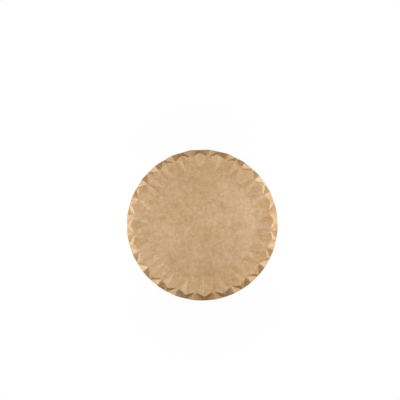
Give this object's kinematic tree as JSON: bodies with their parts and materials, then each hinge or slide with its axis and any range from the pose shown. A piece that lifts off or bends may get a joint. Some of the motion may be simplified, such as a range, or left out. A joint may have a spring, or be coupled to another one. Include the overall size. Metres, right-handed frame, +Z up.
{
  "type": "paper plate",
  "caption": "Round kraft paper plate with a flat floor, a folded wall and a gem-cut rim of flat triangular facets; holds food or small items.",
  "frame": {"origin": "centre of the floor's lower face, on the plane that the plate stands on", "axes": "+Z up out of the well, along the axis of the round edge; +X through a notch of the rim"},
  "size_m": [0.2302, 0.2302, 0.0165],
  "materials": {
    "kraft_board": "matt, uncoated, mottled kraft brown"
  },
  "bodies": {
    "root": {"plate": "kraft_board"}
  },
  "joints": []
}
